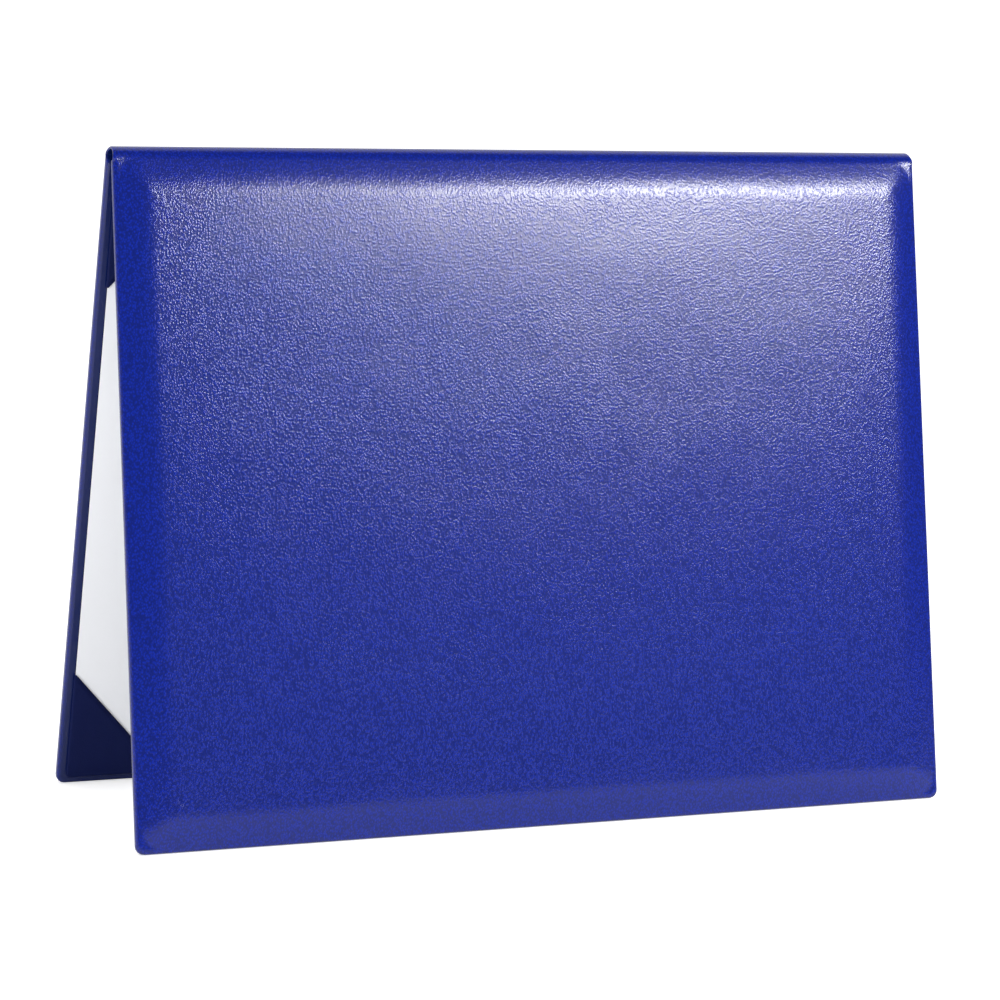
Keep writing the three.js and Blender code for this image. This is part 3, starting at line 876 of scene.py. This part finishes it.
def seen_directly(tree):
    """1 for what the camera sees, straight or in a gloss or through glass, and otherwise 0."""
    path = add_node(tree, "ShaderNodeLightPath")
    seen = add_node(tree, "ShaderNodeMath", {
        0: path.outputs["Is Camera Ray"], 1: path.outputs["Is Glossy Ray"]}, operation="MAXIMUM")
    return add_node(tree, "ShaderNodeMath", {
        0: seen.outputs[0], 1: path.outputs["Is Transmission Ray"]},
        operation="MAXIMUM").outputs[0]


def add_sky(strength):
    """A white backdrop behind the object, a dim room before it, and an even light on it all."""
    world = bpy.data.worlds.new("studio")
    bpy.context.scene.world = world
    world.use_nodes = True
    tree = world.node_tree
    tree.nodes.clear()
    way = add_node(tree, "ShaderNodeTexCoord")
    parts = add_node(tree, "ShaderNodeSeparateXYZ", {"Vector": way.outputs["Generated"]})
    mirrored = add_node(tree, "ShaderNodeMapRange", {
        "Value": parts.outputs["Y"], "From Min": 0.1, "From Max": 0.4, "To Min": ROOM_LEVEL,
        "To Max": 1.0})
    path = add_node(tree, "ShaderNodeLightPath")
    white = add_node(tree, "ShaderNodeMath", {
        0: mirrored.outputs["Result"], 1: path.outputs["Is Camera Ray"]}, operation="MAXIMUM")
    level = add_node(tree, "ShaderNodeMix", {
        "Factor": seen_directly(tree), 2: strength, 3: white.outputs[0]})
    shine = add_node(tree, "ShaderNodeBackground", {
        "Color": (1, 1, 1, 1), "Strength": level.outputs[0]})
    add_node(tree, "ShaderNodeOutputWorld", {"Surface": shine.outputs[0]})


def add_floor():
    """White paper sweep: dull, and bright enough to melt into the white behind it."""
    mesh = bpy.data.meshes.new("floor")
    corners = [(FLOOR_REACH * x, FLOOR_REACH * y, 0)
               for x, y in ((-1, -1), (1, -1), (1, 1), (-1, 1))]
    mesh.from_pydata(corners, [], [(0, 1, 2, 3)])
    floor = bpy.data.objects.new("floor", mesh)
    bpy.context.scene.collection.objects.link(floor)
    material, tree = new_material("white_paper_sweep")
    paper = add_node(tree, "ShaderNodeBsdfDiffuse", {"Color": (*linear(PAPER), 1)})
    path = add_node(tree, "ShaderNodeLightPath")
    glow = add_node(tree, "ShaderNodeMath", {0: path.outputs["Is Camera Ray"], 1: FLOOR_GLOW},
                    operation="MULTIPLY")
    light = add_node(tree, "ShaderNodeEmission", {"Strength": glow.outputs[0]})
    both = add_node(tree, "ShaderNodeAddShader", {0: paper.outputs[0], 1: light.outputs[0]})
    add_node(tree, "ShaderNodeOutputMaterial", {"Surface": both.outputs[0]})
    mesh.materials.append(material)


class COVER_OT_studio(Operator):
    """Adds the camera, the softboxes, the white sweep and the sky"""

    bl_idname = "cover.studio"
    bl_label = "Studio"

    def execute(self, context):
        studio = context.scene.cover_studio
        add_camera(studio)
        add_floor()
        add_sky(studio.sky)
        add_softbox("key_softbox", studio.key_place, studio.aim, KEY_SIZE, studio.key_power)
        fill = add_softbox("fill_softbox", studio.fill_place, studio.aim, FILL_SIZE,
                           studio.fill_power)
        fill.visible_glossy = False
        context.scene.view_settings.view_transform = "Standard"
        return {"FINISHED"}


BUILDERS = (COVER_OT_studio, COVER_OT_inner_parts, COVER_OT_leatherette, COVER_OT_pockets)


class COVER_PT_panel(Panel):
    """Lists what builds the diploma cover"""

    bl_idname = "COVER_PT_panel"
    bl_label = "Diploma Cover"
    bl_space_type = "VIEW_3D"
    bl_region_type = "UI"
    bl_category = "Diploma Cover"

    def draw(self, context):
        for name in ("cover_sizes", "cover_colours", "cover_studio"):
            group = getattr(context.scene, name)
            box = self.layout.box()
            for setting in group.bl_rna.properties:
                if setting.identifier not in ("rna_type", "name"):
                    box.prop(group, setting.identifier)
        for builder in BUILDERS:
            self.layout.operator(builder.bl_idname)


CLASSES = (CoverSizes, CoverColours, StudioSettings, *BUILDERS, COVER_PT_panel)


def register():
    """Makes the cover's operators, panel and settings known."""
    for kind in CLASSES:
        bpy.utils.register_class(kind)
    bpy.types.Scene.cover_sizes = PointerProperty(type=CoverSizes)
    bpy.types.Scene.cover_colours = PointerProperty(type=CoverColours)
    bpy.types.Scene.cover_studio = PointerProperty(type=StudioSettings)


def unregister():
    """Takes them away again."""
    for name in ("cover_sizes", "cover_colours", "cover_studio"):
        delattr(bpy.types.Scene, name)
    for kind in reversed(CLASSES):
        bpy.utils.unregister_class(kind)


def main():
    """Builds the cover and its studio."""
    register()
    bpy.ops.cover.studio()
    bpy.ops.cover.inner_parts()
    bpy.ops.cover.leatherette()
    bpy.ops.cover.pockets()


if __name__ == "__main__":
    main()
